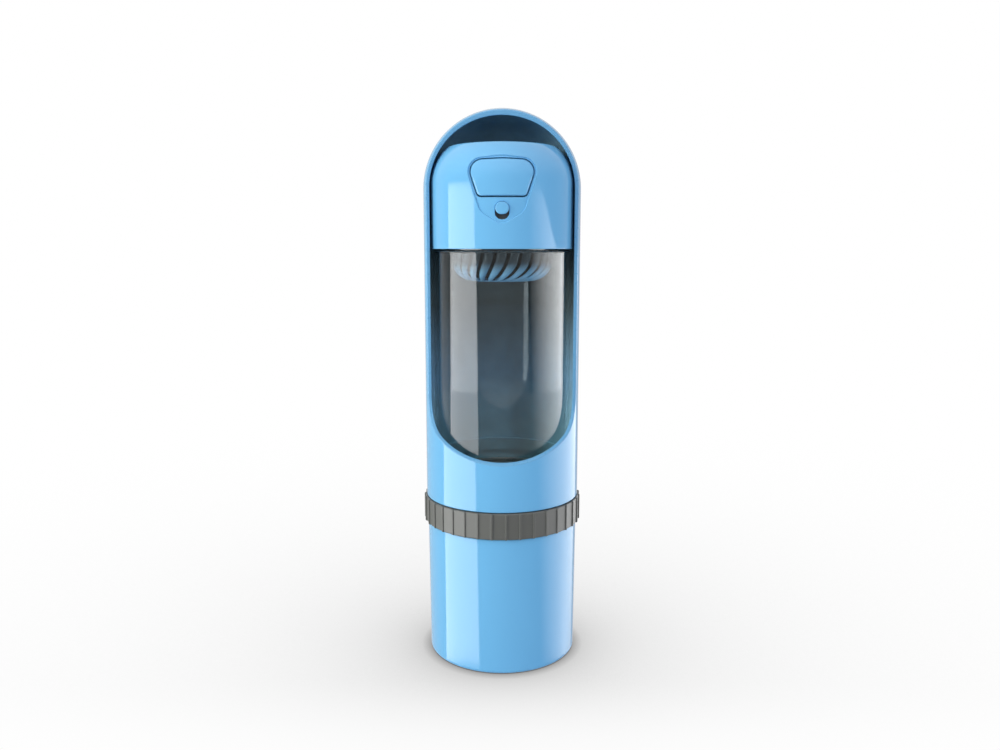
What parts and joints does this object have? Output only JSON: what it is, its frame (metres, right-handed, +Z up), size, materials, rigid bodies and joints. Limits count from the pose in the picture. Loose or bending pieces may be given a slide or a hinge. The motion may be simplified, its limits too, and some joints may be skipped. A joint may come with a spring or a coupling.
{
  "type": "dog travel water bottle",
  "caption": "Upright travel bottle for a dog: food cup, twist ring, clear tank with filter basket, push-button head and a hooded drinking trough that slides up.",
  "frame": {"origin": "centre of the food cup's base, on the surface it stands on", "axes": "+Z up along the bottle's axis, the window and the button face -Y, +X to the right as seen from the front"},
  "size_m": [0.0754, 0.0754, 0.2577],
  "materials": {
    "blue_abs": "gloss moulded sky-blue ABS",
    "blue_cage": "semi-gloss moulded polypropylene",
    "clear_copolyester": "clear, glossy",
    "grey_ring": "satin grey",
    "grey_abs": "satin grey",
    "white_pp": "natural polypropylene",
    "silicone": "matte silicone",
    "carbon_felt": "pressed carbon felt",
    "sponge": "open-cell sponge",
    "steel": "stainless"
  },
  "bodies": {
    "cup": {"food_cup": "blue_abs"},
    "core": {"cup_gasket": "silicone", "base_collar": "grey_abs", "bottle": "clear_copolyester", "neck_gasket": "silicone", "head_insert": "white_pp", "head_shell": "blue_abs", "filter_cage": "blue_cage", "carbon_filter": "carbon_felt", "filter_sponge": "sponge", "air_vent_valve": "silicone", "valve_body": "white_pp", "valve_cap": "white_pp", "stem_oring": "silicone", "cap_screws": "steel", "outlet_spout": "silicone"},
    "ring": {"grip_ring": "grey_ring"},
    "trough": {"trough_shell": "blue_abs", "stop_collar": "blue_abs", "sleeve_seal": "silicone"},
    "button": {"water_button": "blue_abs", "push_fork": "white_pp"},
    "valve": {"valve_stem": "white_pp", "valve_disc": "silicone", "valve_spring": "steel"},
    "lock": {"lock_slider": "blue_abs", "lock_plate": "white_pp"}
  },
  "joints": [
    {"name": "core_lift", "type": "slide", "parent": "cup", "child": "core", "axis": [0, 0, 1], "range_m": [0, 0.006]},
    {"name": "ring_twist", "type": "hinge", "parent": "core", "child": "ring", "pos_m": [0, 0, 0.071], "axis": [0, 0, 1], "range_deg": [0, 90]},
    {"name": "trough_slide", "type": "slide", "parent": "core", "child": "trough", "axis": [0, 0, 1], "range_m": [0, 0.0972]},
    {"name": "button_press", "type": "slide", "parent": "core", "child": "button", "axis": [0, 1, 0], "range_m": [0, 0.003], "stiffness_N_per_m": 400, "springref_m": -0.003},
    {"name": "valve_lift", "type": "slide", "parent": "core", "child": "valve", "axis": [0, 0, 1], "range_m": [0, 0.003], "deforming": ["valve_spring"]},
    {"name": "lock_slide", "type": "slide", "parent": "core", "child": "lock", "axis": [0, 0, -1], "range_m": [0, 0.002]}
  ],
  "couplings": [
    {"joint": "ring_twist", "follows": "core_lift", "rad_per_m": 261.8},
    {"joint": "valve_lift", "follows": "button_press", "ratio": 1}
  ]
}
